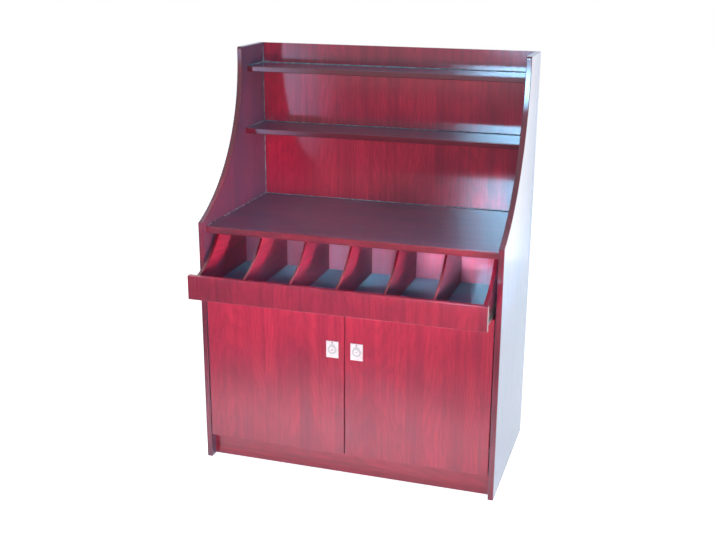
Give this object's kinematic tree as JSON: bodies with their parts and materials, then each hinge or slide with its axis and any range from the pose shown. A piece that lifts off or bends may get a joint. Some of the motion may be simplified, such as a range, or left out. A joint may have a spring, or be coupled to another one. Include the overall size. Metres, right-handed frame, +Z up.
{
  "type": "condiment station cabinet",
  "caption": "Open-topped service station: curved side panels, display shelves, counter, sliding tray with dividers, and a lockable two-door cupboard.",
  "frame": {"origin": "on the floor, at the centre of the plan rectangle with the tray pulled out 130 mm as at rest", "axes": "+X across to the right, front faces -Y, +Z up"},
  "size_m": [1, 0.67, 1.365],
  "materials": {
    "stained_wood": "dark crimson stain under gloss lacquer, vertical grain",
    "plain_wood": "bare beech",
    "screw_steel": "zinc plated",
    "slide_steel": "zinc plated, rolled",
    "bright_steel": "ground and polished",
    "hinge_steel": "nickel plated",
    "lock_chrome": "bright chrome plate",
    "lock_steel": "plain plated steel"
  },
  "bodies": {
    "carcass": {"back_panel": "stained_wood", "bottom_board": "stained_wood", "deck_board": "stained_wood", "countertop": "stained_wood", "lower_shelf": "stained_wood", "upper_shelf": "stained_wood", "plinth_board": "stained_wood", "door_post": "stained_wood", "dowels": "plain_wood", "back_screws": "screw_steel", "slide_case_screws": "screw_steel", "hinge_arm_screws": "screw_steel", "left_side_panel": "stained_wood", "left_upper_hinge_arm": "hinge_steel", "left_lower_hinge_arm": "hinge_steel", "left_slide_case": "slide_steel", "right_side_panel": "stained_wood", "right_upper_hinge_arm": "hinge_steel", "right_lower_hinge_arm": "hinge_steel", "right_slide_case": "slide_steel"},
    "tray": {"tray_front": "stained_wood", "tray_floor": "stained_wood", "tray_back": "stained_wood", "tray_left_side": "stained_wood", "tray_right_side": "stained_wood", "tray_divider_1": "stained_wood", "tray_divider_2": "stained_wood", "tray_divider_3": "stained_wood", "tray_divider_4": "stained_wood", "tray_divider_5": "stained_wood", "tray_screws": "screw_steel", "slide_rail_screws": "screw_steel", "left_slide_rail": "slide_steel", "right_slide_rail": "slide_steel"},
    "left_cage": {"left_ball_cage": "slide_steel", "left_balls": "bright_steel"},
    "right_cage": {"right_ball_cage": "slide_steel", "right_balls": "bright_steel"},
    "left_leaf": {"left_door": "stained_wood", "left_upper_hinge_cup": "hinge_steel", "left_lower_hinge_cup": "hinge_steel", "left_hinge_pins": "bright_steel", "left_cup_screws": "screw_steel", "left_lock_case": "lock_chrome", "left_lock_nut": "lock_steel", "left_plate_screw": "screw_steel"},
    "right_leaf": {"right_door": "stained_wood", "right_upper_hinge_cup": "hinge_steel", "right_lower_hinge_cup": "hinge_steel", "right_hinge_pins": "bright_steel", "right_cup_screws": "screw_steel", "right_lock_case": "lock_chrome", "right_lock_nut": "lock_steel", "right_plate_screw": "screw_steel"},
    "left_lock": {"left_lock_plug": "lock_chrome", "left_lock_cam": "lock_steel", "left_cam_screw": "screw_steel"},
    "right_lock": {"right_lock_plug": "lock_chrome", "right_lock_cam": "lock_steel", "right_cam_screw": "screw_steel"}
  },
  "joints": [
    {"name": "tray_slide", "type": "slide", "parent": "carcass", "child": "tray", "axis": [0, -1, 0], "range_m": [-0.13, 0.15]},
    {"name": "left_cage_slide", "type": "slide", "parent": "carcass", "child": "left_cage", "axis": [0, -1, 0], "range_m": [-0.065, 0.075]},
    {"name": "right_cage_slide", "type": "slide", "parent": "carcass", "child": "right_cage", "axis": [0, -1, 0], "range_m": [-0.065, 0.075]},
    {"name": "left_door_swing", "type": "hinge", "parent": "carcass", "child": "left_leaf", "pos_m": [-0.465, -0.196, 0.3485], "axis": [0, 0, -1], "range_deg": [0, 90]},
    {"name": "right_door_swing", "type": "hinge", "parent": "carcass", "child": "right_leaf", "pos_m": [0.465, -0.196, 0.3485], "axis": [0, 0, 1], "range_deg": [0, 90]},
    {"name": "left_lock_turn", "type": "hinge", "parent": "left_leaf", "child": "left_lock", "pos_m": [-0.041, -0.205, 0.452], "axis": [0, 1, 0], "range_deg": [0, 90]},
    {"name": "right_lock_turn", "type": "hinge", "parent": "right_leaf", "child": "right_lock", "pos_m": [0.041, -0.205, 0.452], "axis": [0, -1, 0], "range_deg": [0, 90]}
  ],
  "couplings": [
    {"joint": "left_cage_slide", "follows": "tray_slide", "ratio": 0.5},
    {"joint": "right_cage_slide", "follows": "tray_slide", "ratio": 0.5}
  ]
}
